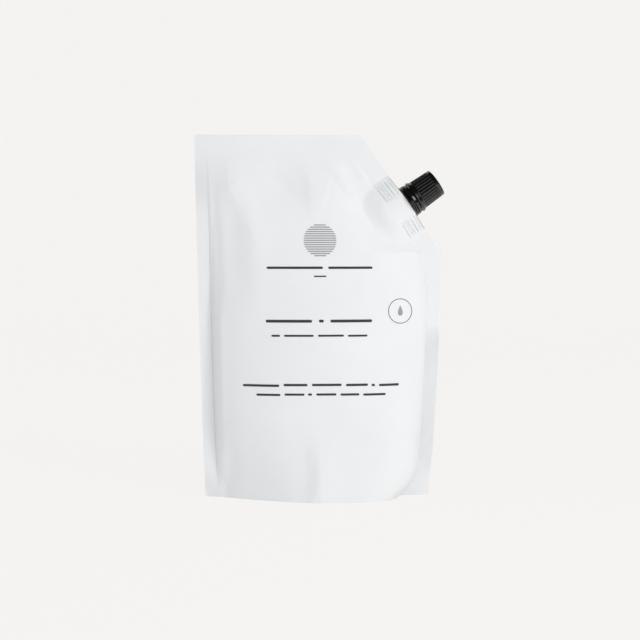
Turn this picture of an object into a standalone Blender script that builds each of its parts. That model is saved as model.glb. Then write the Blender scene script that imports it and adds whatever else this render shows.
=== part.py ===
"""Stand-up refill pouch for liquid hand soap, with a screw-capped spout welded into its cut corner.

Metres, +Z up. The pouch stands on z = 0 with its front towards -Y and the spout at the upper right (+X).
"""

import math

import bmesh
import bpy
from mathutils import Matrix, Vector

MM = 0.001

# The pack's outline, seen from the front
PACK_WIDTH = 140 * MM
PACK_HEIGHT = 205 * MM
LEFT_DRAW_IN = 5.3 * MM  # the filled base draws each side in by this much
RIGHT_DRAW_IN = 7.4 * MM
CORNER_CUT_WIDTH = 46.6 * MM  # the cut corner, measured along the top
CORNER_CUT_HEIGHT = 66.9 * MM  # and measured down the right side
CORNER_ROUND = 2 * MM

# Welded edges
SEAL_THICKNESS = 0.4 * MM
SIDE_SEAL = 7 * MM
TOP_SEAL = 9 * MM
SPOUT_SEAL = 10.5 * MM
LEFT_EAR = 1.5 * MM  # the flat ear at each bottom corner, beyond the side seal
RIGHT_EAR = 10 * MM
EAR_HEIGHT = 20 * MM

# The filled body
BASE_DEPTH = 45 * MM
BELLY_DEPTH = 47 * MM
BELLY_HEIGHT = 55 * MM  # height of the deepest section
TAPER_HEIGHT = 50 * MM  # the front's lower left part slants back below this height
SHOULDER_SHARE = 0.28  # of the depth, which the film gains at once beside a side seal
DENT_DEPTH = 2.2 * MM  # soft hollows in the slack film of the upper front
SKIRT_WALL = 0.5 * MM  # the gusset's welded skirt, which the pouch stands on
SKIRT_GROOVE = 3 * MM
SKIRT_HEIGHT = 5 * MM

# Spout
SPOUT_ALONG_CUT = 46.4 * MM  # from the top end of the cut edge to the spout's axis
BORE_RADIUS = 5 * MM
NECK_WALL = 1.3 * MM
NECK_HEIGHT = 18 * MM  # above the pouch's cut edge
BOAT_LENGTH = 36 * MM
BOAT_WALL = 1.5 * MM  # beside the bore, weld ribs included
BOAT_DEPTH = 10.5 * MM
WELD_RIBS = 5
WELD_RIB_HEIGHT = 0.6 * MM
SPOUT_FILM = 0.9 * MM  # film and soap over the boat-shaped base
FLANGE_OVERHANG = 0.15 * MM  # beyond the cap's flared skirt
FLANGE_THICKNESS = 1.1 * MM
FLANGE_GROOVE = 0.5 * MM
FLANGE_GROOVE_DEPTH = 1.2 * MM

# Tamper-evident band
BAND_HEIGHT = 1.7 * MM
BAND_WALL = 1.7 * MM
BAND_INSET = 0.15 * MM  # inside the cap's flared skirt
BRIDGES = 8
BRIDGE_HEIGHT = 0.25 * MM
BRIDGE_WIDTH = 0.8 * MM

# Screw cap
THREAD_SPACE = 0.8 * MM  # between the neck and the inside of the cap
CAP_WALL = 1 * MM
CAP_TOP_WALL = 1.2 * MM
CAP_TAPER = 0.4 * MM
CAP_FLARE = 0.95 * MM
CAP_FLARE_HEIGHT = 2.6 * MM
CAP_PLAIN_HEIGHT = 2.3 * MM  # smooth zone above the grip ribs
CAP_EDGE = 0.8 * MM
GRIP_RIBS = 30
GRIP_DEPTH = 0.4 * MM
LINER_THICKNESS = 0.8 * MM

CLEARANCE = 0.3 * MM
EDGE = 0.2 * MM  # small chamfer on the moulded rims

# Derived sizes: radii from the bore outwards, heights along the spout's axis from the cut edge
CUT_ANGLE = math.atan2(CORNER_CUT_HEIGHT, CORNER_CUT_WIDTH)
CUT_START = PACK_HEIGHT - CORNER_CUT_HEIGHT
CUT_TOP = Vector((PACK_WIDTH / 2 - CORNER_CUT_WIDTH, 0, PACK_HEIGHT))
CUT_DIRECTION = Vector((math.cos(CUT_ANGLE), 0, -math.sin(CUT_ANGLE)))
SPOUT_AXIS = Vector((math.sin(CUT_ANGLE), 0, math.cos(CUT_ANGLE)))
SPOUT_CENTRE = CUT_TOP + CUT_DIRECTION * SPOUT_ALONG_CUT
BOAT_WIDTH = 2 * (BORE_RADIUS + BOAT_WALL)
NECK_RADIUS = BORE_RADIUS + NECK_WALL
CAP_INNER_RADIUS = NECK_RADIUS + THREAD_SPACE
CAP_TOP_RADIUS = CAP_INNER_RADIUS + CAP_WALL
CAP_RADIUS = CAP_TOP_RADIUS + CAP_TAPER
CAP_FLARE_RADIUS = CAP_RADIUS + CAP_FLARE
BAND_RADIUS = CAP_FLARE_RADIUS - BAND_INSET
FLANGE_RADIUS = CAP_FLARE_RADIUS + FLANGE_OVERHANG
LINER_RADIUS = CAP_INNER_RADIUS - CLEARANCE
BAND_START = 2 * FLANGE_THICKNESS + FLANGE_GROOVE + CLEARANCE
BAND_TOP = BAND_START + BAND_HEIGHT
CAP_START = BAND_TOP + BRIDGE_HEIGHT + CLEARANCE
LINER_START = NECK_HEIGHT + CLEARANCE
CAP_INNER_TOP = LINER_START + LINER_THICKNESS + CLEARANCE
CAP_TOP = CAP_INNER_TOP + CAP_TOP_WALL

# Facets
SECTION_COLUMNS = 34
CAP_STEPS = GRIP_RIBS * 4
ROUND_STEPS = 64


def smooth(value):
    """Ease from 0 to 1 as value goes from 0 to 1."""
    value = min(max(value, 0.0), 1.0)
    return value * value * (3 - 2 * value)


def left_edge(z):
    into_corner = max(z - PACK_HEIGHT + CORNER_ROUND, 0)
    rounding = CORNER_ROUND - math.sqrt(max(CORNER_ROUND**2 - into_corner**2, 0))
    return -PACK_WIDTH / 2 + LEFT_DRAW_IN * (1 - z / PACK_HEIGHT) ** 1.3 + rounding


def right_edge(z):
    side = PACK_WIDTH / 2 - RIGHT_DRAW_IN * (1 - z / PACK_HEIGHT) ** 2.4
    cut = PACK_WIDTH / 2 - (z - CUT_START) / math.tan(CUT_ANGLE)
    return min(side, cut)


def ear(width, z):
    return width * (1 - min(z / EAR_HEIGHT, 1.0)) ** 2


def filled_left(z):
    return left_edge(z) + SIDE_SEAL + ear(LEFT_EAR, z)


def filled_right(z):
    """The right seal widens from the side seal to the spout seal along the cut edge."""
    share = smooth((z - CUT_START + 2.5 * SPOUT_SEAL) / (3.5 * SPOUT_SEAL))
    seal = SIDE_SEAL + (SPOUT_SEAL / math.sin(CUT_ANGLE) - SIDE_SEAL) * share
    return right_edge(z) - seal - ear(RIGHT_EAR, z)


def half_depth(z):
    """Half the pack's depth at its middle: full at the belly, closing to the top seal."""
    if z < BELLY_HEIGHT:
        swell = math.sin(math.pi / 2 * z / BELLY_HEIGHT)
        return (BASE_DEPTH + (BELLY_DEPTH - BASE_DEPTH) * swell) / 2
    rise = (z - BELLY_HEIGHT) / (PACK_HEIGHT - TOP_SEAL - BELLY_HEIGHT)
    return BELLY_DEPTH / 2 * (1 - min(rise, 1.0) ** 1.75) ** 1.15


def hollow(x, z, centre_x, centre_z, width, height):
    """How far a point lies inside a soft hollow in the film: 1 at its centre, fading to 0."""
    return math.exp(-(((x - centre_x) / width) ** 2) - ((z - centre_z) / height) ** 2)


def slack(x, z):
    """Hollows and one swell of the slack film in the upper front."""
    left = -PACK_WIDTH / 2
    top = PACK_HEIGHT - TOP_SEAL
    depth = hollow(x, z, left + 49 * MM, top - 14 * MM, 13 * MM, 13 * MM)
    depth += 0.4 * hollow(x, z, SPOUT_CENTRE.x - 19 * MM, SPOUT_CENTRE.z - 9 * MM, 17 * MM, 19 * MM)
    depth += 0.7 * hollow(x, z, left + 22 * MM, top - 36 * MM, 9 * MM, 30 * MM)
    depth -= 0.7 * hollow(x, z, left + 75 * MM, top - 18 * MM, 7 * MM, 16 * MM)
    return DENT_DEPTH * depth


def sleeve(x, z):
    """Half-thickness of the film where it is drawn round the spout's base."""
    offset = Vector((x, 0, z)) - SPOUT_CENTRE
    along = offset.dot(CUT_DIRECTION)
    inward = -offset.dot(SPOUT_AXIS)
    wall = CLEARANCE + SPOUT_FILM
    span = BOAT_LENGTH / 2 + wall
    if abs(along) >= span:
        return 0.0
    bulge = (BOAT_WIDTH / 2 + wall) * (1 - (along / span) ** 2)
    fade = smooth((inward - BOAT_DEPTH - wall) / (2 * BOAT_DEPTH))
    return bulge * (1 - fade)


def section_share(across, z, side):
    """Share of the full depth that a cross-section has at a place across it: -1 and 1 are the seals."""
    low = 1 - smooth(z / (1.6 * BELLY_HEIGHT))
    blunt = 2.1
    round_off = 0.9 - 0.2 * low
    shoulder = SHOULDER_SHARE
    if across > 0:
        blunt += 3 * low
    elif side < 0:
        taper = 1 - smooth(z / TAPER_HEIGHT)
        blunt -= 0.9 * taper
        round_off += 0.3 * taper
        shoulder *= 1 - taper
    rounded = (1 - abs(across) ** blunt) ** round_off
    stepped = (1 - abs(across) ** 14) ** 0.6
    return (1 - shoulder) * rounded + shoulder * stepped


def half_thickness(x, z, side):
    """Half the pack's thickness at x, z: side is -1 for the front film and 1 for the back film."""
    seal = SEAL_THICKNESS / 2
    left = filled_left(z)
    right = filled_right(z)
    fill = 0.0
    if left < x < right and z < PACK_HEIGHT - TOP_SEAL:
        middle = (left + right) / 2
        across = (x - middle) / ((right - left) / 2)
        fill = half_depth(z) * section_share(across, z, side)
    if side < 0 and fill > 0:
        fill -= min(fill / (3 * DENT_DEPTH), 1.0) * slack(x, z)
    thickness = seal + max(fill, 0.0)
    return max(thickness, sleeve(x, z))


def section_heights():
    """Heights of the pouch's cross-sections, closer together at the base, cut corner and top seal."""
    top = PACK_HEIGHT - TOP_SEAL
    heights = [EAR_HEIGHT * (i / 6) ** 1.5 for i in range(6)]
    heights += [EAR_HEIGHT + (CUT_START - EAR_HEIGHT) * i / 12 for i in range(12)]
    heights += [CUT_START + (top - CUT_START) * i / 16 for i in range(17)]
    heights += [PACK_HEIGHT - CORNER_ROUND * share for share in (1, 0.5, 0.15, 0)]
    return heights


def section_places(z):
    """Where the columns of one cross-section stand: the two seals, and the filled width between them."""
    left = left_edge(z)
    right = right_edge(z)
    inner_left = filled_left(z)
    inner_right = filled_right(z)
    places = [left]
    for i in range(SECTION_COLUMNS + 1):
        turn = -math.cos(math.pi * i / SECTION_COLUMNS)
        even = 2 * i / SECTION_COLUMNS - 1
        share = (0.6 * turn + 0.4 * even + 1) / 2
        places.append(inner_left + (inner_right - inner_left) * share)
    places.append((inner_right + right) / 2)
    places.append(right)
    return places


def add_object(name, bm, material):
    mesh = bpy.data.meshes.new(name)
    bm.to_mesh(mesh)
    bm.free()
    obj = bpy.data.objects.new(name, mesh)
    bpy.context.scene.collection.objects.link(obj)
    if material:
        mesh.materials.append(material)
    return obj


def add_material(name, colour, roughness):
    material = bpy.data.materials.new(name)
    material.use_nodes = True
    shader = material.node_tree.nodes["Principled BSDF"]
    shader.inputs["Base Color"].default_value = (*colour, 1)
    shader.inputs["Roughness"].default_value = roughness
    return material


def shade(obj, degrees):
    for face in obj.data.polygons:
        face.use_smooth = True
    obj.data.set_sharp_from_angle(angle=math.radians(degrees))


def cut(obj, cutter, operation="DIFFERENCE"):
    cutter.hide_render = True
    cutter.display_type = "WIRE"
    modifier = obj.modifiers.new(cutter.name, "BOOLEAN")
    modifier.object = cutter
    modifier.operation = operation
    modifier.solver = "EXACT"


def loft(bm, rings):
    """Skin a list of closed rings of points, capping the first and the last."""
    rows = [[bm.verts.new(point) for point in ring] for ring in rings]
    count = len(rows[0])
    for lower, upper in zip(rows, rows[1:]):
        for i in range(count):
            j = (i + 1) % count
            bm.faces.new((lower[i], lower[j], upper[j], upper[i]))
    bm.faces.new(list(reversed(rows[0])))
    bm.faces.new(rows[-1])
    bmesh.ops.recalc_face_normals(bm, faces=bm.faces)
    return rows


def build_pouch(material):
    bm = bmesh.new()
    rings = []
    for z in section_heights():
        places = section_places(z)
        front = [Vector((x, -half_thickness(x, z, -1), z)) for x in places]
        back = [Vector((x, half_thickness(x, z, 1), z)) for x in reversed(places)]
        rings.append(front + back)
    loft(bm, rings)
    return add_object("pouch", bm, material)


def skirt_ring(shrink, z):
    """The outline of the base drawn in by shrink, at height z. It stops short of the pointed ends."""
    left = filled_left(0) + shrink + SKIRT_GROOVE
    right = filled_right(0) - shrink
    least = SKIRT_GROOVE / 3
    count = 24
    places = []
    for i in range(count + 1):
        places.append(left + (right - left) * (1 - math.cos(math.pi * i / count)) / 2)
    front = [Vector((x, -max(half_thickness(x, 0, -1) - shrink, least), z)) for x in places]
    back = [Vector((x, max(half_thickness(x, 0, 1) - shrink, least), z)) for x in reversed(places)]
    return front + back


def build_skirt_groove():
    """Cuts the groove between the standing skirt and the gusset's belly, a ring pointed upwards."""
    below = -SKIRT_HEIGHT / 5
    bm = bmesh.new()
    outer = [bm.verts.new(point) for point in skirt_ring(SKIRT_WALL, below)]
    crest = [bm.verts.new(point) for point in skirt_ring(1.8 * SKIRT_WALL, SKIRT_HEIGHT)]
    inner = [bm.verts.new(point) for point in skirt_ring(SKIRT_WALL + SKIRT_GROOVE, below)]
    count = len(outer)
    for first, second in ((outer, crest), (crest, inner), (inner, outer)):
        for i in range(count):
            j = (i + 1) % count
            bm.faces.new((first[i], first[j], second[j], second[i]))
    bmesh.ops.recalc_face_normals(bm, faces=bm.faces)
    return add_object("skirt_groove", bm, None)


def boat_ring(half_length, half_width, inward, count=20):
    """One outline of the spout's boat-shaped base, in the spout's own frame."""
    points = []
    for i in range(count):
        along = half_length * -math.cos(math.pi * i / count)
        points.append(Vector((along, -half_width * (1 - (along / half_length) ** 2), -inward)))
    for i in range(count):
        along = half_length * math.cos(math.pi * i / count)
        points.append(Vector((along, half_width * (1 - (along / half_length) ** 2), -inward)))
    return points


def build_boat_space():
    """The space in the pouch that takes the spout's base."""
    half_length = BOAT_LENGTH / 2 + CLEARANCE
    half_width = BOAT_WIDTH / 2 + CLEARANCE
    bm = bmesh.new()
    loft(bm, [
        boat_ring(half_length, half_width, BOAT_DEPTH + CLEARANCE),
        boat_ring(half_length, half_width, -BOAT_DEPTH / 5),
    ])
    return add_object("boat_space", bm, None)


def build_boat(material):
    """Boat-shaped base with weld ribs standing out all round."""
    half_length = BOAT_LENGTH / 2
    half_width = BOAT_WIDTH / 2
    pitch = BOAT_DEPTH / (2 * WELD_RIBS + 1)
    slope = pitch / 10
    rings = []
    for i in range(2 * WELD_RIBS + 1):
        inset = 0 if i % 2 else WELD_RIB_HEIGHT
        start = BOAT_DEPTH - i * pitch
        for inward in (start - slope, start - pitch + slope):
            rings.append(boat_ring(half_length - 2 * inset, half_width - inset, inward))
    bm = bmesh.new()
    loft(bm, rings)
    return add_object("spout", bm, material)


def lathe(name, outline, steps, material=None):
    """Turn a closed outline of radius and height pairs round the local Z axis."""
    bm = bmesh.new()
    rows = []
    for radius, height in outline:
        if radius < 1e-7:
            rows.append([bm.verts.new((0, 0, height))])
            continue
        row = []
        for i in range(steps):
            angle = 2 * math.pi * i / steps
            row.append(bm.verts.new((radius * math.cos(angle), radius * math.sin(angle), height)))
        rows.append(row)
    pairs = list(zip(rows, rows[1:]))
    if len(rows[0]) > 1 and len(rows[-1]) > 1:
        pairs.append((rows[-1], rows[0]))
    for lower, upper in pairs:
        for i in range(steps):
            j = (i + 1) % steps
            if len(lower) == 1:
                bm.faces.new((lower[0], upper[j], upper[i]))
            elif len(upper) == 1:
                bm.faces.new((lower[i], lower[j], upper[0]))
            else:
                bm.faces.new((lower[i], lower[j], upper[j], upper[i]))
    bmesh.ops.recalc_face_normals(bm, faces=bm.faces)
    return add_object(name, bm, material)


def build_neck():
    """Two flanges with a groove between them, and the neck that takes the cap's thread."""
    first = FLANGE_THICKNESS
    second = first + FLANGE_GROOVE
    third = second + FLANGE_THICKNESS
    upper_radius = FLANGE_RADIUS - CLEARANCE
    outline = [
        (0, -EDGE),
        (NECK_RADIUS - WELD_RIB_HEIGHT, -EDGE),
        (NECK_RADIUS - WELD_RIB_HEIGHT, EDGE),
        (FLANGE_RADIUS - EDGE, EDGE),
        (FLANGE_RADIUS, 2 * EDGE),
        (FLANGE_RADIUS, first - EDGE),
        (FLANGE_RADIUS - EDGE, first),
        (FLANGE_RADIUS - FLANGE_GROOVE_DEPTH, first),
        (FLANGE_RADIUS - FLANGE_GROOVE_DEPTH, second),
        (upper_radius - EDGE, second),
        (upper_radius, second + EDGE),
        (upper_radius, third - EDGE),
        (upper_radius - EDGE, third),
        (NECK_RADIUS, third),
        (NECK_RADIUS, NECK_HEIGHT - 2 * EDGE),
        (NECK_RADIUS - 2 * EDGE, NECK_HEIGHT),
        (0, NECK_HEIGHT),
    ]
    return lathe("neck", outline, ROUND_STEPS)


def build_bore():
    """The cutter that opens the spout from the neck's rim to the foot of its base."""
    past = BORE_RADIUS / 2
    outline = [
        (0, -BOAT_DEPTH - past),
        (BORE_RADIUS, -BOAT_DEPTH - past),
        (BORE_RADIUS, NECK_HEIGHT + past),
        (0, NECK_HEIGHT + past),
    ]
    return lathe("bore", outline, ROUND_STEPS)


def build_band(material):
    """The ring left on the neck when the cap is first opened."""
    inner_radius = BAND_RADIUS - BAND_WALL
    outline = [
        (inner_radius, BAND_START),
        (BAND_RADIUS - EDGE, BAND_START),
        (BAND_RADIUS, BAND_START + EDGE),
        (BAND_RADIUS, BAND_TOP - EDGE),
        (BAND_RADIUS - EDGE, BAND_TOP),
        (inner_radius, BAND_TOP),
    ]
    return lathe("tamper_band", outline, ROUND_STEPS, material)


def build_bridges():
    """The stubs of the bridges that hold the band to the cap, one row round it."""
    sunk = BRIDGE_HEIGHT
    radius = BAND_RADIUS - EDGE - BRIDGE_WIDTH / 2
    height = BAND_TOP + (BRIDGE_HEIGHT - sunk) / 2
    size = Matrix.Diagonal((BRIDGE_WIDTH, BRIDGE_WIDTH, BRIDGE_HEIGHT + sunk, 1))
    bm = bmesh.new()
    for i in range(BRIDGES):
        turn = Matrix.Rotation(2 * math.pi * (i + 0.5) / BRIDGES, 4, "Z")
        place = Matrix.Translation((radius, 0, height))
        bmesh.ops.create_cube(bm, size=1, matrix=turn @ place @ size)
    return add_object("bridges", bm, None)


def build_cap(material):
    """Flared skirt, ribbed grip, smooth crown; hollow from below."""
    grip_start = CAP_START + CAP_FLARE_HEIGHT
    grip_end = CAP_TOP - CAP_PLAIN_HEIGHT
    slant = 1.5 * EDGE
    rings = [
        (CAP_INNER_RADIUS, CAP_INNER_TOP, 0),
        (CAP_INNER_RADIUS, CAP_START, 0),
        (CAP_FLARE_RADIUS - EDGE, CAP_START, 0),
        (CAP_FLARE_RADIUS, CAP_START + EDGE, 0),
        (CAP_FLARE_RADIUS - 0.15 * CAP_FLARE, CAP_START + 0.35 * CAP_FLARE_HEIGHT, 0),
        (CAP_RADIUS, grip_start, 0),
        (CAP_RADIUS, grip_start + slant, GRIP_DEPTH),
        (CAP_TOP_RADIUS, grip_end - slant, GRIP_DEPTH),
        (CAP_TOP_RADIUS, grip_end, 0),
        (CAP_TOP_RADIUS, CAP_TOP - CAP_EDGE, 0),
        (CAP_TOP_RADIUS - 0.3 * CAP_EDGE, CAP_TOP - 0.3 * CAP_EDGE, 0),
        (CAP_TOP_RADIUS - CAP_EDGE, CAP_TOP, 0),
    ]
    bm = bmesh.new()
    rows = []
    for radius, height, rib in rings:
        row = []
        for i in range(CAP_STEPS):
            angle = 2 * math.pi * (i + 0.5) / CAP_STEPS
            reach = radius - rib if i % 4 < 2 else radius
            row.append(bm.verts.new((reach * math.cos(angle), reach * math.sin(angle), height)))
        rows.append(row)
    for lower, upper in zip(rows, rows[1:]):
        for i in range(CAP_STEPS):
            j = (i + 1) % CAP_STEPS
            bm.faces.new((lower[i], lower[j], upper[j], upper[i]))
    bm.faces.new(rows[0])
    bm.faces.new(rows[-1])
    bmesh.ops.recalc_face_normals(bm, faces=bm.faces)
    return add_object("screw_cap", bm, material)


def build_liner(material):
    """The sealing disc between the neck's rim and the inside of the cap."""
    top = LINER_START + LINER_THICKNESS
    outline = [(0, LINER_START), (LINER_RADIUS, LINER_START), (LINER_RADIUS, top), (0, top)]
    return lathe("cap_liner", outline, ROUND_STEPS, material)


def main():
    for obj in list(bpy.data.objects):
        bpy.data.objects.remove(obj, do_unlink=True)

    film = add_material("white_film", (0.83, 0.84, 0.84), 0.42)
    black = add_material("black_plastic", (0.012, 0.012, 0.013), 0.35)
    cap_black = add_material("black_cap_plastic", (0.012, 0.012, 0.013), 0.35)
    band_black = add_material("black_band_plastic", (0.012, 0.012, 0.013), 0.3)
    foam = add_material("white_liner", (0.85, 0.85, 0.83), 0.6)

    # The spout's own frame: Z along its axis, X down along the pouch's cut edge
    frame = Matrix.Translation(SPOUT_CENTRE)
    frame = frame @ Matrix((CUT_DIRECTION, (0, 1, 0), SPOUT_AXIS)).transposed().to_4x4()

    pouch = build_pouch(film)
    groove = build_skirt_groove()
    space = build_boat_space()
    space.matrix_world = frame
    cut(pouch, groove)
    cut(pouch, space)
    shade(pouch, 40)

    spout = build_boat(black)
    neck = build_neck()
    bore = build_bore()
    for obj in (spout, neck, bore):
        obj.matrix_world = frame
    cut(spout, neck, "UNION")
    cut(spout, bore)
    shade(spout, 35)

    band = build_band(band_black)
    bridges = build_bridges()
    for obj in (band, bridges):
        obj.matrix_world = frame
    cut(band, bridges, "UNION")
    shade(band, 35)

    cap = build_cap(cap_black)
    cap.matrix_world = frame
    shade(cap, 35)

    liner = build_liner(foam)
    liner.matrix_world = frame
    shade(liner, 35)


main()
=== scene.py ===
"""Studio scene of the refill pouch: film, print, cap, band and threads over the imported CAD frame."""
import math
from collections import namedtuple

import bpy
import numpy as np
from mathutils import Matrix, Vector


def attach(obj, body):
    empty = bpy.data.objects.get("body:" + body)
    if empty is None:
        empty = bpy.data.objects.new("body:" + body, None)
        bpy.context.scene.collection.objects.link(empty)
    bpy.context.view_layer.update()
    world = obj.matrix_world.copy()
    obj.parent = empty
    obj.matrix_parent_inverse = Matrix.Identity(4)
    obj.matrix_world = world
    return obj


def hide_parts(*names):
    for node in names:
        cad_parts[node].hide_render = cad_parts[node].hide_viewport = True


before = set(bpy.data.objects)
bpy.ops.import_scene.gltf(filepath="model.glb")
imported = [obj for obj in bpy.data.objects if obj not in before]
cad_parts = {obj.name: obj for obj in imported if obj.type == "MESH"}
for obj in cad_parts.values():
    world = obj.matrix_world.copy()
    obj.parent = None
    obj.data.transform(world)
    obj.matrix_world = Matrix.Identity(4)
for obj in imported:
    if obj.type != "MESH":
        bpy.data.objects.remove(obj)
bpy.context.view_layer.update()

MM = 0.001

# The pouch, with the same named sizes as the part's source
PACK_WIDTH, PACK_HEIGHT = 140 * MM, 205 * MM
LEFT_DRAW_IN, RIGHT_DRAW_IN = 5.3 * MM, 7.4 * MM
CUT_WIDTH, CUT_HEIGHT, CORNER_ROUND = 46.6 * MM, 66.9 * MM, 2 * MM
SEAL_THICKNESS, SIDE_SEAL, TOP_SEAL, SPOUT_SEAL = 0.4 * MM, 7 * MM, 9 * MM, 10.5 * MM
LEFT_EAR, RIGHT_EAR, EAR_HEIGHT = 1.5 * MM, 10 * MM, 20 * MM
BASE_DEPTH, BELLY_DEPTH, BELLY_HEIGHT = 45 * MM, 47 * MM, 55 * MM
TAPER_HEIGHT, SHOULDER_SHARE, DENT_DEPTH = 50 * MM, 0.28, 2.2 * MM

# The spout, band and cap
SPOUT_ALONG_CUT, BORE_RADIUS, NECK_WALL, NECK_HEIGHT = 46.4 * MM, 5 * MM, 1.3 * MM, 18 * MM
BOAT_LENGTH, BOAT_DEPTH, BOAT_WALL, SPOUT_FILM = 36 * MM, 10.5 * MM, 1.5 * MM, 0.9 * MM
FLANGE_THICKNESS, FLANGE_GROOVE = 1.1 * MM, 0.5 * MM
BAND_HEIGHT, BAND_WALL, BAND_INSET = 1.7 * MM, 1.7 * MM, 0.15 * MM
BRIDGES, BRIDGE_HEIGHT, BRIDGE_WIDTH = 8, 0.25 * MM, 0.8 * MM
THREAD_SPACE, THREAD_LEAD, THREAD_STARTS = 0.8 * MM, 6 * MM, 2
CAP_WALL, CAP_TOP_WALL, CAP_TAPER = 1 * MM, 1.2 * MM, 0.4 * MM
CAP_FLARE, CAP_FLARE_HEIGHT, CAP_PLAIN_HEIGHT = 0.95 * MM, 2.6 * MM, 2.3 * MM
LINER_THICKNESS, CLEARANCE = 0.8 * MM, 0.3 * MM
GRIP_RIBS, GRIP_DEPTH = 30, 0.42 * MM

# Worked out from the sizes above
CUT_ANGLE = math.atan2(CUT_HEIGHT, CUT_WIDTH)
CUT_START = PACK_HEIGHT - CUT_HEIGHT
DOWN = Vector((math.cos(CUT_ANGLE), 0, -math.sin(CUT_ANGLE)))
AXIS = Vector((math.sin(CUT_ANGLE), 0, math.cos(CUT_ANGLE)))
CENTRE = Vector((PACK_WIDTH / 2 - CUT_WIDTH, 0, PACK_HEIGHT)) + DOWN * SPOUT_ALONG_CUT
SPOUT = Matrix.Translation(CENTRE) @ Matrix((DOWN, (0, 1, 0), AXIS)).transposed().to_4x4()
NECK_RADIUS = BORE_RADIUS + NECK_WALL
CAP_INNER_RADIUS = NECK_RADIUS + THREAD_SPACE
CAP_TOP_RADIUS = CAP_INNER_RADIUS + CAP_WALL
CAP_RADIUS = CAP_TOP_RADIUS + CAP_TAPER
FLARE_RADIUS = CAP_RADIUS + CAP_FLARE
BAND_RADIUS = FLARE_RADIUS - BAND_INSET
BAND_START = 2 * FLANGE_THICKNESS + FLANGE_GROOVE + CLEARANCE
CAP_START = BAND_START + BAND_HEIGHT + BRIDGE_HEIGHT + CLEARANCE
CAP_INNER_TOP = NECK_HEIGHT + CLEARANCE + LINER_THICKNESS + CLEARANCE
CAP_TOP = CAP_INNER_TOP + CAP_TOP_WALL

# The photograph's view: a little from the left and from above
AZIMUTH, ELEVATION, DISTANCE = math.radians(-3.6), math.radians(3.0), 0.8
TARGET = Vector((0.0006, 0, 0.1006))
IMAGE_SIDE = 640  # pixels
PIXEL = 0.5675 * MM  # one pixel of the photograph at the target
SENSOR_WIDTH = 36  # the camera's own millimetres
LEVEL = math.cos(ELEVATION)
VIEW = Vector((math.sin(AZIMUTH) * LEVEL, -math.cos(AZIMUTH) * LEVEL, math.sin(ELEVATION)))
EYE = TARGET + VIEW * DISTANCE
LOOK = (TARGET - EYE).to_track_quat("-Z", "Y")

# A crease follows points (x, z) and rises by rise, less than 0 for a valley, all in mm. left and right are
# its widths on the two sides of the line. A crest of 2 rounds it and a crest of 1 makes it sharp. A dip is a
# round hollow about a point, in mm too.
Crease = namedtuple("Crease", "points rise left right crest", defaults=(2,))
Dip = namedtuple("Dip", "x z width height depth")

FRONT_CREASES = [
    # From the upper left corner down into the body, where the film leaves the seal
    Crease([(-60, 206), (-52, 189), (-49, 180), (-43, 166), (-38, 145), (-36, 112)], 1.9, 8, 8),
    Crease([(-53, 204), (-51.6, 193), (-51.3, 184), (-51, 175), (-45, 162)], 1.6, 15, 8, crest=1),
    # The front face beside the step at the left seal
    Crease([(-56, 118), (-56, 70), (-55, 10)], 0.9, 3, 14),
    Crease([(-62, 190), (-60, 172), (-58, 150), (-57, 105)], -1.1, 3, 8),
    # Slack film under the top seal
    Crease([(-34, 190), (-22, 179), (-12, 166)], -0.8, 5, 4),
    Crease([(-11, 192), (-5, 180), (-4, 160)], 1.0, 6, 3.5),
    Crease([(5, 190), (11, 182), (18, 172)], 0.8, 2.4, 2.4),
    Crease([(8, 203), (16, 191), (24, 179)], -2.4, 4, 4.5),
    # Valley drawn below the spout, and the swell beyond it
    Crease([(21, 172), (24, 168), (34, 154), (45, 144), (57, 137)], -2.0, 6.5, 9),
    Crease([(14, 163), (23, 146), (38, 131)], 0.6, 6, 6),
    # Crease up from the middle of the base
    Crease([(-9, -6), (-9, 14), (-10, 36)], -0.9, 7, 4),
    Crease([(0.5, -6), (0.5, 14), (-0.5, 34)], 0.9, 4, 7),
    # Lower corners, where the gusset's ears pull the film in
    Crease([(-56, 2), (-50, 14), (-48, 30)], -0.6, 4, 4),
    Crease([(43, -2), (48, 12), (50, 28)], -0.9, 4, 3),
]
FRONT_DIPS = [
    Dip(x=-59, z=-1, width=10, height=9, depth=1.8),
    Dip(x=40, z=88, width=7, height=9, depth=0.7),
]
BACK_CREASES = [
    Crease([(-50, 192), (-34, 172), (-26, 150)], 1.0, 6, 5),
    Crease([(8, 192), (2, 172)], -1.2, 6, 6),
    Crease([(30, 165), (40, 150), (56, 140)], -1.2, 5, 5),
    Crease([(2, -4), (1, 30)], -0.8, 3, 5),
]

# Print, by pixels of the photograph: a line's top and bottom, the ends of each bar, and how much of the
# line's height the bars take
PrintLine = namedtuple("PrintLine", "rows bars share")
PRINT_LINES = [
    PrintLine((264.6, 270.9), [(266.6, 322.9), (328.2, 372.5)], 0.36),
    PrintLine((275.0, 277.7), [(313.9, 326.3)], 0.5),
    PrintLine((317.7, 324.5), [(265.7, 312.1), (318.9, 323.9), (330.4, 372.1)], 0.4),
    PrintLine((331.5, 340.0), [(271.4, 280), (284, 313.6), (318, 343.9), (348, 367.5)], 0.22),
    PrintLine((382.0, 388.0), [(242.9, 279.3), (283.5, 307.5), (312, 341.6), (346, 368), (371.5, 375),
                               (379, 398.8)], 0.38),
    PrintLine((391.8, 397.3), [(256.4, 280.4), (284.5, 304.5), (308, 312.1), (316.3, 336.4), (340.5, 359.3),
                               (363.2, 385.7)], 0.38),
]
DISC_PIXEL, DISC_RADIUS, DISC_BARS, DISC_BAR_HEIGHT = (320, 240.3), 9.2 * MM, 15, 0.62 * MM
RING_PIXEL, RING_OUTER, RING_INNER = (400.3, 311), 7.0 * MM, 6.65 * MM
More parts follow.
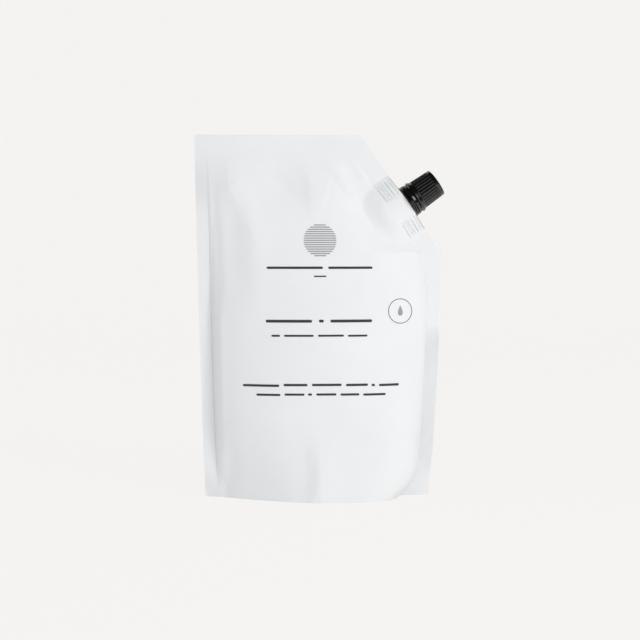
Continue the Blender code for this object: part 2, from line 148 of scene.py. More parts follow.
DROP_WIDTH, DROP_HEIGHT, DROP_LIFT, DROP_POINTS = 2.0 * MM, 3.0 * MM, 0.4 * MM, 48
PRINT_LIFT = 0.09 * MM  # above the film


# The pouch's form, on arrays of x and z
def ease(v):
    v = np.clip(v, 0, 1)
    return v * v * (3 - 2 * v)


def left_edge(z):
    corner = np.maximum(z - PACK_HEIGHT + CORNER_ROUND, 0)
    rounding = CORNER_ROUND - np.sqrt(np.maximum(CORNER_ROUND**2 - corner**2, 0))
    return -PACK_WIDTH / 2 + LEFT_DRAW_IN * np.maximum(1 - z / PACK_HEIGHT, 0) ** 1.3 + rounding


def right_edge(z):
    side = PACK_WIDTH / 2 - RIGHT_DRAW_IN * np.maximum(1 - z / PACK_HEIGHT, 0) ** 2.4
    return np.minimum(side, PACK_WIDTH / 2 - (z - CUT_START) / math.tan(CUT_ANGLE))


def ear(width, z):
    return width * (1 - np.minimum(z / EAR_HEIGHT, 1)) ** 2


def filled_left(z):
    return left_edge(z) + SIDE_SEAL + ear(LEFT_EAR, z)


def filled_right(z):
    share = ease((z - CUT_START + 2.5 * SPOUT_SEAL) / (3.5 * SPOUT_SEAL))
    seal = SIDE_SEAL + (SPOUT_SEAL / math.sin(CUT_ANGLE) - SIDE_SEAL) * share
    return right_edge(z) - seal - ear(RIGHT_EAR, z)


def half_depth(z):
    deeper = np.sin(math.pi / 2 * np.minimum(z / BELLY_HEIGHT, 1))
    low = (BASE_DEPTH + (BELLY_DEPTH - BASE_DEPTH) * deeper) / 2
    rise = np.clip((z - BELLY_HEIGHT) / (PACK_HEIGHT - TOP_SEAL - BELLY_HEIGHT), 0, 1)
    return np.where(z < BELLY_HEIGHT, low, BELLY_DEPTH / 2 * (1 - rise**1.75) ** 1.15)


def hollow(x, z, centre_x, centre_z, width, height):
    return np.exp(-(((x - centre_x) / width) ** 2) - ((z - centre_z) / height) ** 2)


def edge_frame(x, z):
    """Distance along the cut edge from the spout's axis, and inward from the edge."""
    dx, dz = x - CENTRE.x, z - CENTRE.z
    return dx * DOWN.x + dz * DOWN.z, -(dx * AXIS.x + dz * AXIS.z)


def boat_bulge(along):
    wall = CLEARANCE + SPOUT_FILM
    span = BOAT_LENGTH / 2 + wall
    return np.maximum((BORE_RADIUS + BOAT_WALL + wall) * (1 - (along / span) ** 2), 0)


def sleeve(x, z):
    """The film's depth over the spout's base, fading out beyond it."""
    fade_length = 1.8 * BOAT_DEPTH
    along, inward = edge_frame(x, z)
    fade = ease((inward - BOAT_DEPTH - CLEARANCE - SPOUT_FILM) / fade_length)
    return boat_bulge(along) * (1 - fade)


def fill_depth(x, z, side):
    """The filled body's depth on one side: a shoulder beside the seals and a rounded part."""
    left, right = filled_left(z), filled_right(z)
    across = np.clip((x - (left + right) / 2) / ((right - left) / 2), -1, 1)
    low = 1 - ease(z / (1.6 * BELLY_HEIGHT))
    taper = (1 - ease(z / TAPER_HEIGHT)) * (across < 0) * (side < 0)
    blunt = 2.1 + np.where(across > 0, 3 * low, 0) - 0.9 * taper
    round_off = 0.9 - 0.2 * low + 0.3 * taper
    shoulder = SHOULDER_SHARE * (1 - taper)
    rounded = (1 - np.abs(across) ** blunt) ** round_off
    stepped = (1 - np.abs(across) ** 14) ** 0.6
    return half_depth(z) * ((1 - shoulder) * rounded + shoulder * stepped)


def drawn_over(body, base):
    """The film's depth over the body and the spout's base, with a rounded valley where they meet."""
    widest, least = 3.5 * MM, 0.001 * MM
    reach = np.minimum(widest, base) + least
    return np.maximum(body, base) + np.maximum(reach - np.abs(body - base), 0) ** 2 / (4 * reach)


def fold(x, z, crease):
    """The height that a crease adds. It dies away at both ends of its line."""
    best = np.full(x.shape, np.inf)
    out = np.zeros(x.shape)
    points = [(px * MM, pz * MM) for px, pz in crease.points]
    lengths = [math.dist(a, b) for a, b in zip(points, points[1:])]
    total, gone = sum(lengths), 0.0
    for (ax, az), (bx, bz), length in zip(points, points[1:], lengths):
        dx, dz = (bx - ax) / length, (bz - az) / length
        t = np.clip(((x - ax) * dx + (z - az) * dz), 0, length)
        distance = np.hypot(x - ax - dx * t, z - az - dz * t)
        side = dx * (z - az) - dz * (x - ax)
        width = np.where(side > 0, crease.left * MM, crease.right * MM)
        share = np.clip((gone + t) / total, 0.02, 0.98)
        value = np.exp(-((distance / width) ** crease.crest)) * np.sin(math.pi * share) ** 0.5
        out = np.where(distance < best, value, out)
        best = np.minimum(distance, best)
        gone += length
    return out * crease.rise * MM


def waves(x, z, seed, count, size, depth):
    """Small seeded creases, strongest where the film is slack: near the top and the base."""
    slack = 0.25 + 0.75 * (ease((z - 140 * MM) / (30 * MM)) + ease((45 * MM - z) / (30 * MM)))
    rng = np.random.default_rng(seed)
    out = np.zeros(x.shape)
    for _ in range(count):
        cx, cz = rng.uniform(-60, 62) * MM, rng.uniform(4, 194) * MM
        angle = rng.uniform(0, math.pi)
        length, width = rng.uniform(0.6, 1.6) * size, rng.uniform(0.12, 0.3) * size
        u = (x - cx) * math.cos(angle) + (z - cz) * math.sin(angle)
        v = -(x - cx) * math.sin(angle) + (z - cz) * math.cos(angle)
        out += rng.uniform(-1, 1) * np.exp(-((u / length) ** 2) - ((v / width) ** 2))
    return out * depth * slack


def mid_plane(x, z):
    """How far back the welded side edges lean off the pack's middle plane.

    The left one leans back at the top and at its foot, and the right one forward below the cut.
    """
    above_foot = ease(z / (30 * MM))
    left = np.clip((filled_left(z) - x) / SIDE_SEAL, 0, 1) * ease((PACK_HEIGHT - z) / (25 * MM))
    right = np.clip((x - filled_right(z)) / SIDE_SEAL, 0, 1) * ease((98 * MM - z) / (9 * MM))
    left_lean = (-0.5 + 3.4 * ease((z - 156 * MM) / (20 * MM)) + 0.4 * np.sin(z / (19 * MM))) * MM
    right_lean = (3.4 + 0.4 * np.sin(z / (16 * MM) + 2.0)) * MM
    left_foot_lean = 3 * MM * (1 - ease(z / (20 * MM)))
    return above_foot * (left * left_lean - right * right_lean) + left * left_foot_lean


def weld_marks(x, z):
    """The ribs of the spout's base showing through the film near the base's two ends."""
    depth, rows, neck_half = 0.62 * MM, 5.5, 5.5 * MM
    along, inward = edge_frame(x, z)
    away = np.abs(along)
    window = ease((BOAT_LENGTH / 2 + 1 * MM - away) / (3 * MM)) * ease((away - neck_half) / (3 * MM))
    window = window * ease(inward / (1 * MM)) * ease((BOAT_DEPTH + 1 * MM - inward) / (1.5 * MM))
    pitch = BOAT_DEPTH / rows
    return depth * window * (np.cos(2 * math.pi * (inward / pitch - 0.75)) - 1)


def slack_film(x, z):
    """Shares of the dent depth: soft hollows under the top seal and beside the spout, and one swell."""
    left, top = -PACK_WIDTH / 2, PACK_HEIGHT - TOP_SEAL
    out = hollow(x, z, left + 49 * MM, top - 14 * MM, 13 * MM, 13 * MM)
    out += 0.4 * hollow(x, z, CENTRE.x - 19 * MM, CENTRE.z - 9 * MM, 17 * MM, 19 * MM)
    out += 0.7 * hollow(x, z, left + 22 * MM, top - 36 * MM, 9 * MM, 30 * MM)
    out -= 0.7 * hollow(x, z, left + 75 * MM, top - 18 * MM, 7 * MM, 16 * MM)
    return out


def film_depth(x, z, fill, relief):
    """A film's depth over the body, with its relief held flat where it comes near a seal."""
    held = np.minimum(fill / (2.5 * MM), 1)
    body = SEAL_THICKNESS / 2 + np.maximum(fill + held * relief, 0)
    return drawn_over(body, sleeve(x, z)) + weld_marks(x, z)


def front_depth(x, z):
    """How far the front film stands towards the viewer from the middle plane."""
    fill = fill_depth(x, z, -1)
    soft = np.minimum(fill / (3 * DENT_DEPTH), 1)
    fill = fill - soft * DENT_DEPTH * slack_film(x, z)
    relief = sum(fold(x, z, crease) for crease in FRONT_CREASES)
    for dip in FRONT_DIPS:
        shape = hollow(x, z, dip.x * MM, dip.z * MM, dip.width * MM, dip.height * MM)
        relief -= dip.depth * MM * shape
    relief += waves(x, z, 11, 70, 16 * MM, 0.22 * MM)
    relief += waves(x, z, 12, 60, 7 * MM, 0.08 * MM)
    return film_depth(x, z, fill, relief)


def back_depth(x, z):
    """How far the back film stands away from the viewer from the middle plane."""
    relief = sum(fold(x, z, crease) for crease in BACK_CREASES)
    relief = relief - np.abs(waves(x, z, 21, 70, 16 * MM, 0.3 * MM))
    return film_depth(x, z, fill_depth(x, z, 1), relief)


# Mesh helpers
def new_object(name, verts, faces, sharp=None):
    """A smooth-shaded object, with sharp edges where faces turn by more than so many degrees."""
    mesh = bpy.data.meshes.new(name)
    mesh.from_pydata(verts, [], faces)
    mesh.validate()
    obj = bpy.data.objects.new(name, mesh)
    bpy.context.scene.collection.objects.link(obj)
    mesh.polygons.foreach_set("use_smooth", [True] * len(mesh.polygons))
    if sharp is not None:
        mesh.set_sharp_from_angle(angle=math.radians(sharp))
    return obj


def sheet_grid(columns, rows):
    """x and z of a film sheet's points, closer together near the seals, the cut and the base."""
    left_seal_columns, right_seal_columns, crowding = 11, 15, 0.06
    t = np.linspace(0, 1, rows)
    z = PACK_HEIGHT * (t - crowding * np.sin(2 * math.pi * t))
    top_lines = [PACK_HEIGHT - CORNER_ROUND * s for s in (1, 0.7, 0.45, 0.25, 0.1)]
    foot_lines = [0.25 * MM, 0.5 * MM, 0.9 * MM]
    z = np.unique(np.concatenate([z, top_lines, foot_lines, [CUT_START, PACK_HEIGHT - TOP_SEAL]]))
    left, right = left_edge(z), right_edge(z)
    inner_left, inner_right = filled_left(z), filled_right(z)
    u = np.linspace(0, 1, columns)
    u = 0.5 * u + 0.5 * (1 - np.cos(math.pi * u)) / 2
    left_shares = np.linspace(0, 1, left_seal_columns + 1)[:-1]
    right_shares = np.linspace(0, 1, right_seal_columns + 1)[1:]
    x = np.concatenate([
        left[:, None] + (inner_left - left)[:, None] * left_shares,
        inner_left[:, None] + (inner_right - inner_left)[:, None] * u,
        inner_right[:, None] + (right - inner_right)[:, None] * right_shares,
    ], axis=1)
    return x, np.repeat(z[:, None], x.shape[1], axis=1)


def foot_lip(reach):
    """The film's welded foot stands out a little, but not at the flat corners."""
    return 0.25 * MM * ease((reach - 1 * MM) / (3 * MM))


def film_sheet(name, columns, rows, depth, side):
    """One film with its welded rim: the outermost points fold over the edge to the middle plane."""
    x, z = sheet_grid(columns, rows)
    middle = mid_plane(x, z)
    reach = depth(x, z)
    y = middle + side * (reach + foot_lip(reach) * np.exp(-((z / (0.8 * MM)) ** 2)))
    n_rows, n_cols = x.shape
    grid = np.stack([x, y, z], axis=-1)
    verts = grid.reshape(-1, 3).tolist()
    index = np.arange(n_rows * n_cols).reshape(n_rows, n_cols)
    faces = np.stack([index[:-1, :-1], index[:-1, 1:], index[1:, 1:], index[1:, :-1]], axis=-1)
    faces = faces.reshape(-1, 4).tolist()
    # The rim: left side, top and right side
    path = [(r, 0) for r in range(n_rows)] + [(n_rows - 1, c) for c in range(1, n_cols)]
    path += [(r, n_cols - 1) for r in range(n_rows - 2, -1, -1)]
    rim = []
    for r, c in path:
        rim.append(len(verts))
        inward = 0.0
        # Round the neck the rim stops at the spout's base
        if abs(grid[r, c, 1] - middle[r, c]) > 0.6 * MM:
            along, _ = edge_frame(grid[r, c, 0], grid[r, c, 2])
            inward = max(float(boat_bulge(along)) - 0.5 * MM, 0)
        verts.append((grid[r, c, 0], middle[r, c] + side * inward, grid[r, c, 2]))
    for k in range(len(path) - 1):
        a, b = index[path[k]], index[path[k + 1]]
        faces.append((int(b), int(a), rim[k], rim[k + 1]))
    if side > 0:
        faces = [tuple(reversed(f)) for f in faces]
    return new_object(name, verts, faces, sharp=50)


def gusset(name, columns, rows):
    """The underside: the standing skirt's inner face, the groove behind it and the gusset's belly."""
    # From the foot of the front film inward and up, in mm
    skirt = [(0, 0), (0.45, 0), (0.7, 4.2), (1.0, 5.0), (1.6, 4.4), (2.3, 3.0), (3.0, 1.4), (3.8, 0.25)]
    full_depth = 16 * MM  # the skirt shrinks where the base is less deep than this
    t = np.linspace(0, 1, columns)
    left, right = float(filled_left(np.array(0.0))), float(filled_right(np.array(0.0)))
    x = left + (right - left) * (t * 0.4 + 0.6 * (1 - np.cos(math.pi * t)) / 2)
    zero = np.zeros(x.shape)
    lip = foot_lip(front_depth(x, zero))
    front_foot = front_depth(x, zero) + lip
    back_foot = back_depth(x, zero) + lip
    verts, faces = [], []
    for i in range(columns):
        scale = min(1.0, (front_foot[i] + back_foot[i]) / full_depth) * MM
        inset = skirt[-1][0] * scale
        section = [(-front_foot[i] + inward * scale, up * scale) for inward, up in skirt]
        for k in range(1, rows + 1):
            share = k / (rows + 1)
            y = -front_foot[i] + inset + (back_foot[i] + front_foot[i] - 2 * inset) * share
            ripple = 0.12 * math.sin(x[i] * 190 + 1.3 * math.sin(y * 300)) + 0.13
            section.append((y, ripple * MM * min(1, 6 * share * (1 - share) + 0.3)))
        section += [(back_foot[i] - inward * scale, up * scale) for inward, up in reversed(skirt)]
        verts += [(x[i], y, max(z, 0.0)) for y, z in section]
    n = len(skirt) * 2 + rows
    for i in range(columns - 1):
        for k in range(n - 1):
            a = i * n + k
            faces.append((a, a + 1, a + 1 + n, a + n))
    return new_object(name, verts, faces, sharp=60)


def lathe_mesh(outline, steps, wave=None):
    """Turn an outline (radius, height) round the spout's axis. wave(angle, k) moves a radius."""
    verts, faces = [], []
    n = len(outline)
    for i in range(steps):
        angle = 2 * math.pi * i / steps
        for k, (radius, height) in enumerate(outline):
            r = radius + (wave(angle, k) if wave else 0)
            verts.append(SPOUT @ Vector((r * math.cos(angle), r * math.sin(angle), height)))
    for i in range(steps):
        j = (i + 1) % steps
        for k in range(n - 1):
            faces.append((i * n + k, j * n + k, j * n + k + 1, i * n + k + 1))
    return verts, faces, n


def closed_lathe(name, outline, steps, wave, sharp):
    """A turned piece whose outline starts and ends near the axis, with both ends closed."""
    verts, faces, n = lathe_mesh(outline, steps, wave)
    faces.append(tuple(i * n for i in reversed(range(steps))))
    faces.append(tuple(i * n + n - 1 for i in range(steps)))
    return new_object(name, verts, faces, sharp)


def block(angle, radius, height, width, tall):
    """The corners of a square block round the spout's axis, lower ones first."""
    corners = []
    for up in (0, 1):
        for out, round_by in ((-0.5, -0.5), (0.5, -0.5), (0.5, 0.5), (-0.5, 0.5)):
            r, t = radius + out * width, round_by * width
            x = r * math.cos(angle) - t * math.sin(angle)
            y = r * math.sin(angle) + t * math.cos(angle)
            corners.append(SPOUT @ Vector((x, y, height + up * tall)))
    return corners


BLOCK_FACES = ((3, 2, 1, 0), (4, 5, 6, 7), (0, 1, 5, 4), (1, 2, 6, 5), (2, 3, 7, 6), (3, 0, 4, 7))


def ring_lathe(name, outline, steps, blocks, sharp):
    """A turned ring, whose outline is closed on itself, with blocks standing on it."""
    verts, faces, n = lathe_mesh(outline, steps)
    for i in range(steps):
        j = (i + 1) % steps
        faces.append((i * n + n - 1, j * n + n - 1, j * n, i * n))
    for corners in blocks:
        start = len(verts)
        verts += corners
        faces += [tuple(start + i for i in face) for face in BLOCK_FACES]
    return new_object(name, verts, faces, sharp)


def arc(centre_r, centre_h, radius, start, end, count):
    """Points of an arc in an outline, from one angle to another in degrees."""
    angles = [math.radians(start + (end - start) * i / count) for i in range(count + 1)]
    return [(centre_r + radius * math.cos(a), centre_h + radius * math.sin(a)) for a in angles]


def beside(radius, height, offsets):
    """Outline points given by their offsets in mm from a radius and a height."""
    return [(radius + out * MM, height + up * MM) for out, up in offsets]


# Materials
def material(name, colour, roughness):
    mat = bpy.data.materials.new(name)
    mat.use_nodes = True
    shader = mat.node_tree.nodes["Principled BSDF"]
    shader.inputs["Base Color"].default_value = (*colour, 1)
    shader.inputs["Roughness"].default_value = roughness
    return mat, mat.node_tree, shader


def noise(tree, scale, detail, rough=0.5):
    coord = tree.nodes.new("ShaderNodeTexCoord")
    node = tree.nodes.new("ShaderNodeTexNoise")
    node.inputs["Scale"].default_value = scale
    node.inputs["Detail"].default_value = detail
    node.inputs["Roughness"].default_value = rough
    tree.links.new(coord.outputs["Object"], node.inputs["Vector"])
    return node.outputs["Fac"]


def remap(tree, value, low, high):
    """Spread the middle of a noise over low to high."""
    node = tree.nodes.new("ShaderNodeMapRange")
    node.inputs["From Min"].default_value = 0.3
    node.inputs["From Max"].default_value = 0.7
    node.inputs["To Min"].default_value = low
    node.inputs["To Max"].default_value = high
    tree.links.new(value, node.inputs["Value"])
    return node.outputs["Result"]


def bump(tree, shader, value, distance, strength, under=None):
    node = tree.nodes.new("ShaderNodeBump")
    node.inputs["Strength"].default_value = strength
    node.inputs["Distance"].default_value = distance
    tree.links.new(value, node.inputs["Height"])
    if under is not None:
        tree.links.new(under, node.inputs["Normal"])
    tree.links.new(node.outputs["Normal"], shader.inputs["Normal"])
    return node.outputs["Normal"]


def tint(tree, shader, value, first, second):
    node = tree.nodes.new("ShaderNodeMix")
    node.data_type = "RGBA"
    node.inputs["A"].default_value = (*first, 1)
    node.inputs["B"].default_value = (*second, 1)
    tree.links.new(value, node.inputs["Factor"])
    tree.links.new(node.outputs["Result"], shader.inputs["Base Color"])


def film_material():
    mat, tree, shader = material("white_laminate_film", (0.80, 0.81, 0.815), 0.42)
    shader.inputs["Specular IOR Level"].default_value = 0.45
    cloud = remap(tree, noise(tree, scale=38, detail=4), 0, 1)
    tint(tree, shader, cloud, (0.79, 0.805, 0.815), (0.82, 0.825, 0.83))
    sheen = remap(tree, noise(tree, scale=90, detail=5), 0.38, 0.5)
    tree.links.new(sheen, shader.inputs["Roughness"])
    soft = bump(tree, shader, noise(tree, scale=160, detail=4, rough=0.55), distance=0.00012, strength=0.5)
    bump(tree, shader, noise(tree, scale=1500, detail=2), distance=0.00001, strength=0.35, under=soft)
    return mat


def plastic(name, colour, low, high):
    """A moulded plastic whose roughness wanders from low to high."""
    mat, tree, shader = material(name, colour, low)
    second = tuple(c * 1.5 for c in colour)
    tint(tree, shader, remap(tree, noise(tree, scale=420, detail=3), 0, 1), colour, second)
    tree.links.new(remap(tree, noise(tree, scale=900, detail=4), low, high), shader.inputs["Roughness"])
    shader.inputs["Specular IOR Level"].default_value = 0.75
    fine = bump(tree, shader, noise(tree, scale=2600, detail=3), distance=0.00001, strength=0.12)
    bump(tree, shader, noise(tree, scale=260, detail=2), distance=0.00003, strength=0.15, under=fine)
    return mat


def ink_material(name, colour, second):
    mat, tree, shader = material(name, colour, 0.5)
    tint(tree, shader, remap(tree, noise(tree, scale=1800, detail=2), 0, 1), colour, second)
    tree.links.new(remap(tree, noise(tree, scale=700, detail=2), 0.42, 0.58), shader.inputs["Roughness"])
    return mat


FILM = film_material()
CAP_BLACK = plastic("black_cap_plastic", (0.0045, 0.0045, 0.005), 0.16, 0.26)
SPOUT_BLACK = plastic("black_spout_plastic", (0.0045, 0.0045, 0.005), 0.16, 0.26)
BAND_BLACK = plastic("black_band_plastic", (0.005, 0.005, 0.0055), 0.12, 0.2)
FOAM = plastic("white_liner_foam", (0.74, 0.74, 0.72), 0.55, 0.7)
INK = ink_material("dark_print", (0.035, 0.036, 0.038), (0.05, 0.051, 0.053))
GREY_INK = ink_material("grey_print", (0.30, 0.30, 0.31), (0.36, 0.36, 0.37))

# The pouch
front = film_sheet("front_film", 230, 320, front_depth, -1)
back = film_sheet("back_film", 130, 200, back_depth, 1)
under = gusset("gusset_film", 150, 24)
for piece in (front, back, under):
    piece.data.materials.append(FILM)
    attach(piece, "pack")
    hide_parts("pouch")


# Print: plain bars and shapes on the front film
def to_film(px, py):
    """The x and z of the place on the front film that shows at a pixel of the photograph."""
    middle = IMAGE_SIDE / 2
    ray = LOOK @ Vector(((px - middle) * PIXEL, (middle - py) * PIXEL, -DISTANCE))
    y = 0.0
    for _ in range(16):
        spot = EYE + ray * ((y - EYE.y) / ray.y)
        x, z = np.array([spot.x]), np.array([spot.z])
        y = float(mid_plane(x, z)[0] - front_depth(x, z)[0])
    return spot.x, spot.z


def on_film(name, points, faces, mat):
    """Lay a flat shape on the film: its points are x and z in metres."""
    xs, zs = np.array([p[0] for p in points]), np.array([p[1] for p in points])
    y = mid_plane(xs, zs) - front_depth(xs, zs) - PRINT_LIFT
    obj = new_object(name, list(zip(xs.tolist(), y.tolist(), zs.tolist())), faces)
    obj.data.materials.append(mat)
    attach(obj, "pack")
    return obj


def bar(x0, x1, middle, height):
    """A bar with round ends, as a strip of small quads."""
    end_steps, step = 4, 0.8 * MM
    r = height / 2
    count = max(int((x1 - x0) / step), 6)
    end = [r * (1 - math.cos(math.pi / 2 * i / end_steps)) for i in range(end_steps)]
    xs = [x0 + e for e in end]
    xs += [x0 + r + (x1 - x0 - 2 * r) * i / count for i in range(count + 1)]
    xs += [x1 - e for e in reversed(end)]
    points, faces = [], []
    for x in xs:
        into = max(x0 + r - x, x - (x1 - r), 0)
        half = math.sqrt(max(r * r - into * into, 0)) + 0.01 * MM
        points += [(x, middle - half), (x, middle), (x, middle + half)]
    for i in range(len(xs) - 1):
        a = 3 * i
        faces += [(a, a + 3, a + 4, a + 1), (a + 1, a + 4, a + 5, a + 2)]
    return points, faces


def merge(shapes):
    points, faces = [], []
    for p, f in shapes:
        start = len(points)
        points += p
        faces += [tuple(i + start for i in face) for face in f]
    return points, faces


def line_of_bars(line):
    top, bottom = line.rows
    shapes = []
    for start, end in line.bars:
        x0, z = to_film(start, (top + bottom) / 2)
        x1, _ = to_film(end, (top + bottom) / 2)
        shapes.append(bar(x0, x1, z, (bottom - top) * PIXEL * line.share))
    return merge(shapes)


def striped_disc(cx, cz):
    """A disc of thin level bars."""
    shapes = []
    for i in range(DISC_BARS):
        z = cz + DISC_RADIUS * (-0.93 + 1.86 * i / (DISC_BARS - 1))
        half = math.sqrt(DISC_RADIUS**2 - (z - cz) ** 2)
        shapes.append(bar(cx - half, cx + half, z, DISC_BAR_HEIGHT))
    return merge(shapes)


def ring(cx, cz, count=72):
    points, faces = [], []
    for i in range(count):
        a = 2 * math.pi * i / count
        points += [(cx + r * math.cos(a), cz + r * math.sin(a)) for r in (RING_INNER, RING_OUTER)]
        j = (i + 1) % count
        faces.append((2 * i, 2 * i + 1, 2 * j + 1, 2 * j))
    return points, faces


def drop(cx, cz):
    """A plain drop, pointed at its top, as strips between its left and right halves."""
    points = []
    for i in range(DROP_POINTS):
        a = 2 * math.pi * i / DROP_POINTS
        x = cx + DROP_WIDTH * math.sin(a) * math.sin(a / 2) ** 1.5
        points.append((x, cz + DROP_LIFT + DROP_HEIGHT * math.cos(a)))
    half = DROP_POINTS // 2
    strips = [(i, i + 1, DROP_POINTS - i - 1, (DROP_POINTS - i) % DROP_POINTS) for i in range(half)]
    strips = [tuple(dict.fromkeys(strip)) for strip in strips]
    return points, [strip for strip in strips if len(strip) > 2]


for number, line in enumerate(PRINT_LINES):
    on_film(f"print_line_{number + 1}", *line_of_bars(line), INK)
on_film("print_disc", *striped_disc(*to_film(*DISC_PIXEL)), GREY_INK)
on_film("print_ring", *ring(*to_film(*RING_PIXEL)), INK)
on_film("print_drop", *drop(*to_film(*RING_PIXEL)), GREY_INK)


# Cap, band, threads, spout and liner
def cap_outline():
    """The cap's section from the middle of its inner top round the foot to the middle of its top.

    Also gives the first point of the ribbed stretch and the first one after it.
    """
    grip_low, grip_high = CAP_START + CAP_FLARE_HEIGHT, CAP_TOP - CAP_PLAIN_HEIGHT
    inner_round, foot_round, top_round = 0.4 * MM, 0.22 * MM, 0.72 * MM
    ramp_steps, ramp_pitch, side_steps = 6, 0.08 * MM, 12
    ramp = (ramp_steps - 1) * ramp_pitch
    # Inside
    out = [(0.2 * MM, CAP_INNER_TOP), (CAP_INNER_RADIUS - 0.5 * MM, CAP_INNER_TOP)]
    out += arc(CAP_INNER_RADIUS - inner_round, CAP_INNER_TOP - inner_round, inner_round, 90, 0, 5)
    out += beside(CAP_INNER_RADIUS, CAP_START, [(0, 1), (0.25, 0.1), (0.4, 0)])
    # The flared foot
    out += beside(FLARE_RADIUS, CAP_START, [(-0.25, 0)])
    out += arc(FLARE_RADIUS - foot_round, CAP_START + foot_round, foot_round, -90, 0, 4)
    out += beside(FLARE_RADIUS, CAP_START, [(-0.03, 0.45), (-0.12, 0.8)])
    out += beside(CAP_RADIUS, CAP_START, [(0.57, 1.3), (0.29, 1.9)])
    out += beside(CAP_RADIUS, grip_low, [(0.07, -0.25), (0, -0.05)])
    # The ribbed side
    start = len(out)
    out += [(CAP_RADIUS, grip_low + ramp_pitch * i) for i in range(ramp_steps)]
    for i in range(1, side_steps):
        share = i / side_steps
        radius = CAP_RADIUS + (CAP_TOP_RADIUS - CAP_RADIUS) * share
        out.append((radius, grip_low + ramp + (grip_high - grip_low - 2 * ramp) * share))
    out += [(CAP_TOP_RADIUS, grip_high - ramp_pitch * i) for i in reversed(range(ramp_steps))]
    end = len(out)
    # The smooth crown and the slightly dished top
    out += [(CAP_TOP_RADIUS, grip_high + 0.15 * MM)]
    out += beside(CAP_TOP_RADIUS, CAP_TOP, [(-0.02, -0.9)])
    out += arc(CAP_TOP_RADIUS - top_round - 0.03 * MM, CAP_TOP - top_round, top_round, 0, 90, 8)
    out += beside(CAP_TOP_RADIUS, CAP_TOP, [(-1.3, -0.02), (-1.6, -0.12)])
    out += beside(0, CAP_TOP, [(0.3, -0.16)])
    return out, start, end


outline, grip_start, grip_end = cap_outline()


def grip(angle, k):
    """Rounded vertical ribs between the cap's flare and its smooth crown."""
    if not grip_start <= k < grip_end:
        return 0.0
    strength = min((k - grip_start) / 4, (grip_end - 1 - k) / 4, 1.0)
    phase = (angle * GRIP_RIBS / (2 * math.pi)) % 1.0
    rib = 1 / (1 + math.exp(-(math.cos(2 * math.pi * phase) * 4 - 0.4)))
    return -GRIP_DEPTH * strength * (1 - rib)


cap = closed_lathe("cap_shell", outline, 480, grip, sharp=40)
cap.data.materials.append(CAP_BLACK)
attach(cap, "cap")
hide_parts("screw_cap")


def band_outline():
    """From the inside round the foot and up the outer face, which leans in towards the cap."""
    inner, top = BAND_RADIUS - BAND_WALL, BAND_START + BAND_HEIGHT
    out = beside(inner, BAND_START, [(0, 0.1), (0.1, 0)])
    out += beside(BAND_RADIUS, BAND_START, [(-0.2, 0), (-0.06, 0.06), (0, 0.2), (-0.06, 0.35), (-0.14, 0.6)])
    out += beside(BAND_RADIUS, BAND_START, [(-0.23, 0.85), (-0.32, 1.1), (-0.41, 1.35), (-0.5, 1.56)])
    out += beside(BAND_RADIUS, top, [(-0.68, 0)])
    out += beside(inner, top, [(0.1, 0), (0, -0.1)])
    return out


def bridge_stubs():
    """The snapped bridges, each standing half in the band and half over it."""
    radius, foot = BAND_RADIUS - 0.75 * MM, BAND_START + BAND_HEIGHT - BRIDGE_HEIGHT
    angles = [2 * math.pi * (i + 0.5) / BRIDGES for i in range(BRIDGES)]
    return [block(angle, radius, foot, BRIDGE_WIDTH, 2 * BRIDGE_HEIGHT) for angle in angles]


band = ring_lathe("band_shell", band_outline(), 240, bridge_stubs(), sharp=40)
band.data.materials.append(BAND_BLACK)
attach(band, "pack")
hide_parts("tamper_band")


def thread(name, radius, height, start, turns, outward, turned, body, mat):
    """A rounded helical ridge on a wall, standing outward from it or inward. turned is its first angle."""
    root, top = 0.05, 0.62  # mm into the wall, and the ridge's height in the profile
    profile = [(-root, -0.62), (0.3, -0.42), (top, -0.16), (top, 0.16), (0.3, 0.42), (-root, 0.62)]
    sign = 1 if outward else -1
    verts, faces = [], []
    steps = int(96 * turns)
    for i in range(steps + 1):
        share = i / steps
        fade = min(1, 12 * share, 12 * (1 - share))
        angle = 2 * math.pi * turns * share + turned
        middle = start + THREAD_LEAD * turns * share
        for out, up in profile:
            r = radius + sign * (out if out < 0 else out * fade * height / top) * MM
            verts.append(SPOUT @ Vector((r * math.cos(angle), r * math.sin(angle), middle + up * MM)))
    n = len(profile)
    for i in range(steps):
        for k in range(n - 1):
            quad = (i * n + k, (i + 1) * n + k, (i + 1) * n + k + 1, i * n + k + 1)
            faces.append(quad if outward else tuple(reversed(quad)))
    obj = new_object(name, verts, faces, sharp=60)
    obj.data.materials.append(mat)
    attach(obj, body)
    return obj


for number in range(THREAD_STARTS):
    first = 2 * math.pi * number / THREAD_STARTS
    thread(f"neck_thread_{number + 1}", NECK_RADIUS, height=0.5, start=7.6 * MM, turns=1.25, outward=True,
           turned=first, body="pack", mat=SPOUT_BLACK)
    thread(f"cap_thread_{number + 1}", CAP_INNER_RADIUS, height=0.45, start=9.5 * MM, turns=1.0,
           outward=False, turned=first + 0.6, body="cap", mat=CAP_BLACK)

for node, mat in (("spout", SPOUT_BLACK), ("cap_liner", FOAM)):
    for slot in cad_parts[node].material_slots:
        slot.material = mat


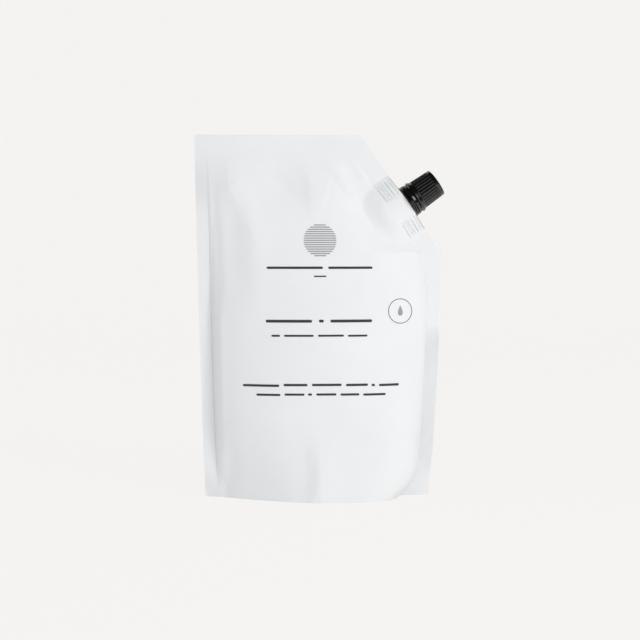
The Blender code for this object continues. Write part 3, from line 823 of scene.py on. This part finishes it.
# Floor and backdrop, light and camera
def stage_material(name, colour, share):
    """A pale surface: the camera and reflections see its plain colour with a faint shadow on it."""
    mat = bpy.data.materials.new(name)
    mat.use_nodes = True
    tree = mat.node_tree
    tree.nodes.clear()
    out = tree.nodes.new("ShaderNodeOutputMaterial")
    diffuse = tree.nodes.new("ShaderNodeBsdfDiffuse")
    diffuse.inputs["Color"].default_value = (*colour, 1)
    glow = tree.nodes.new("ShaderNodeEmission")
    glow.inputs["Color"].default_value = (*colour, 1)
    path = tree.nodes.new("ShaderNodeLightPath")
    seen = path.outputs["Is Camera Ray"]
    for ray in ("Is Glossy Ray", "Is Transmission Ray"):
        either = tree.nodes.new("ShaderNodeMath")
        either.operation = "MAXIMUM"
        tree.links.new(seen, either.inputs[0])
        tree.links.new(path.outputs[ray], either.inputs[1])
        seen = either.outputs[0]
    amount = tree.nodes.new("ShaderNodeMath")
    amount.operation = "MULTIPLY"
    amount.inputs[1].default_value = share
    tree.links.new(seen, amount.inputs[0])
    mix = tree.nodes.new("ShaderNodeMixShader")
    tree.links.new(amount.outputs[0], mix.inputs["Fac"])
    tree.links.new(diffuse.outputs[0], mix.inputs[1])
    tree.links.new(glow.outputs[0], mix.inputs[2])
    tree.links.new(mix.outputs[0], out.inputs["Surface"])
    return mat


def studio_floor(mat):
    """A floor that bends up into the backdrop, in metres."""
    half_width, front_end, bend_start, bend, top = 3.5, -3.0, 1.2, 0.6, 3.5
    sweep = [(front_end, 0.0), (bend_start, 0.0)]
    for degrees in range(10, 91, 10):
        a = math.radians(degrees)
        sweep.append((bend_start + bend * math.sin(a), bend - bend * math.cos(a)))
    sweep.append((bend_start + bend, top))
    verts = [(x, y, z) for y, z in sweep for x in (-half_width, half_width)]
    faces = [(2 * i, 2 * i + 1, 2 * i + 3, 2 * i + 2) for i in range(len(sweep) - 1)]
    floor = new_object("studio_floor", verts, faces)
    floor.data.materials.append(mat)


def area_light(name, place, aim, size, energy, long_axis=(0, 0, 1)):
    """A rectangular light whose second side runs along the long axis."""
    data = bpy.data.lights.new(name, "AREA")
    data.shape = "RECTANGLE"
    data.size, data.size_y = size
    data.energy = energy
    obj = bpy.data.objects.new(name, data)
    bpy.context.scene.collection.objects.link(obj)
    obj.location = place
    away = (Vector(place) - Vector(aim)).normalized()
    across = Vector(long_axis).cross(away).normalized()
    obj.rotation_euler = Matrix((across, away.cross(across), away)).transposed().to_euler()
    return obj


studio_floor(stage_material("pale_studio", (0.931, 0.914, 0.896), 0.9))
area_light("key_right", place=(0.61, -0.68, 0.55), aim=(0.04, 0, 0.16), size=(0.22, 0.45), energy=1.25,
           long_axis=(0.57, 0, -0.82))
card = area_light("bounce_card", place=(0.35, -0.7, 0.04), aim=(0, 0, 0.03), size=(0.7, 0.06), energy=1.5)
card.visible_glossy = False

world = bpy.data.worlds.new("studio")
bpy.context.scene.world = world
world.use_nodes = True
sky = world.node_tree.nodes["Background"]
sky.inputs["Color"].default_value = (0.97, 0.98, 1.0, 1)
sky.inputs["Strength"].default_value = 0.782
world.cycles_visibility.glossy = False

scene = bpy.context.scene
scene.view_settings.view_transform = "Standard"
camera_data = bpy.data.cameras.new("camera")
camera = bpy.data.objects.new("camera", camera_data)
scene.collection.objects.link(camera)
scene.camera = camera
camera_data.sensor_width = SENSOR_WIDTH
camera_data.lens = SENSOR_WIDTH / (IMAGE_SIDE * PIXEL) * DISTANCE
camera_data.clip_start = 0.05
camera.location = EYE
camera.rotation_euler = LOOK.to_euler()
